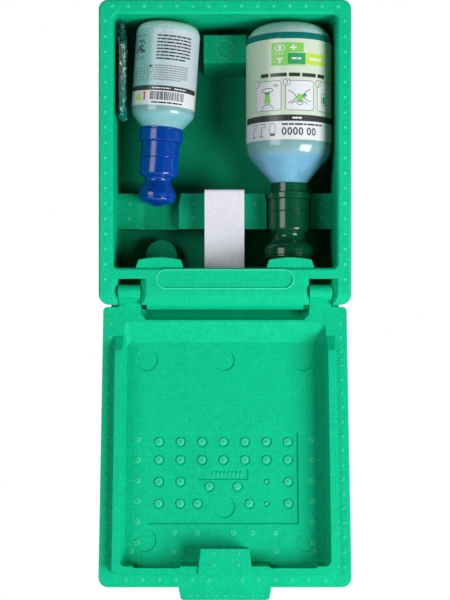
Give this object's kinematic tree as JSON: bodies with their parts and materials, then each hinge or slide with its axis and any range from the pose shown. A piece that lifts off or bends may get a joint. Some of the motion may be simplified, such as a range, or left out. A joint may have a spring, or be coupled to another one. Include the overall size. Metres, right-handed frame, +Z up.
{
  "type": "eyewash station",
  "caption": "Wall-hung foam case with a drop-down tray lid, holding two upturned rinsing bottles with eyecups, a dressing carton and a pad in a film pouch.",
  "frame": {"origin": "middle of the screw pattern on the case's wall face", "axes": "+Y into the wall, +Z up, +X to the right for a person facing the open case"},
  "size_m": [0.21, 0.1239, 0.4926],
  "materials": {
    "case_foam": "bead foam, fine dimpled skin",
    "lid_foam": "bead foam, fine dimpled skin",
    "pin": "moulded",
    "sign": "printed vinyl",
    "large_bottle": "translucent, blow moulded",
    "small_bottle": "translucent, blow moulded",
    "liquid": "clear liquid",
    "large_label": "satin print",
    "small_label": "satin print",
    "green_cap": "polished",
    "blue_cap": "polished",
    "nozzle": "moulded",
    "seal": "matte",
    "card": "coated white board",
    "gauze": "folded gauze",
    "film": "clear crumpled film"
  },
  "bodies": {
    "case": {"case_shell": "case_foam", "hinge_pin_left": "pin", "hinge_pin_right": "pin"},
    "lid": {"lid_shell": "lid_foam", "lid_sign": "sign"},
    "large_bottle": {"large_bottle": "large_bottle", "large_liquid": "liquid", "large_label": "large_label", "large_collar": "green_cap", "large_nozzle": "nozzle", "large_neck_seal": "seal"},
    "large_eyecup": {"large_eyecup": "green_cap", "large_dust_cover": "green_cap"},
    "small_bottle": {"small_bottle": "small_bottle", "small_liquid": "liquid", "small_label": "small_label", "small_collar": "blue_cap", "small_nozzle": "nozzle", "small_neck_seal": "seal"},
    "small_eyecup": {"small_eyecup": "blue_cap"},
    "small_dust_cover": {"small_dust_cover": "blue_cap"},
    "carton": {"carton_body": "card", "gauze_pack": "gauze"},
    "carton_flap": {"carton_flap": "card"},
    "pouch": {"pouch_film": "film", "pouch_pad": "gauze"}
  },
  "joints": [
    {"name": "lid_hinge", "type": "hinge", "parent": "case", "child": "lid", "pos_m": [0, -0.082, -0.14], "axis": [-1, 0, 0], "range_deg": [-9.5, 169.9]},
    {"name": "large_bottle_out", "type": "slide", "parent": "case", "child": "large_bottle", "axis": [0, -1, 0], "range_m": [0, 0.11]},
    {"name": "large_eyecup_turn", "type": "hinge", "parent": "large_bottle", "child": "large_eyecup", "pos_m": [0.0552, -0.05, -0.1082], "axis": [0, 0, 1], "range_deg": [0, 90]},
    {"name": "small_bottle_out", "type": "slide", "parent": "case", "child": "small_bottle", "axis": [0, -1, 0], "range_m": [0, 0.11]},
    {"name": "small_eyecup_turn", "type": "hinge", "parent": "small_bottle", "child": "small_eyecup", "pos_m": [-0.0584, -0.055, -0.059], "axis": [0.0698, 0, 0.9976], "range_deg": [0, 90]},
    {"name": "small_dust_cover_off", "type": "slide", "parent": "small_eyecup", "child": "small_dust_cover", "axis": [-0.0698, 0, -0.9976], "range_m": [0, 0.02]},
    {"name": "carton_out", "type": "slide", "parent": "case", "child": "carton", "axis": [0, -1, 0], "range_m": [0, 0.11]},
    {"name": "carton_flap_hinge", "type": "hinge", "parent": "carton", "child": "carton_flap", "pos_m": [-0.0005, -0.0404, -0.0532], "axis": [-1, 0, 0], "range_deg": [0, 110]},
    {"name": "pouch_out", "type": "slide", "parent": "case", "child": "pouch", "axis": [0, -1, 0], "range_m": [0, 0.11]}
  ]
}
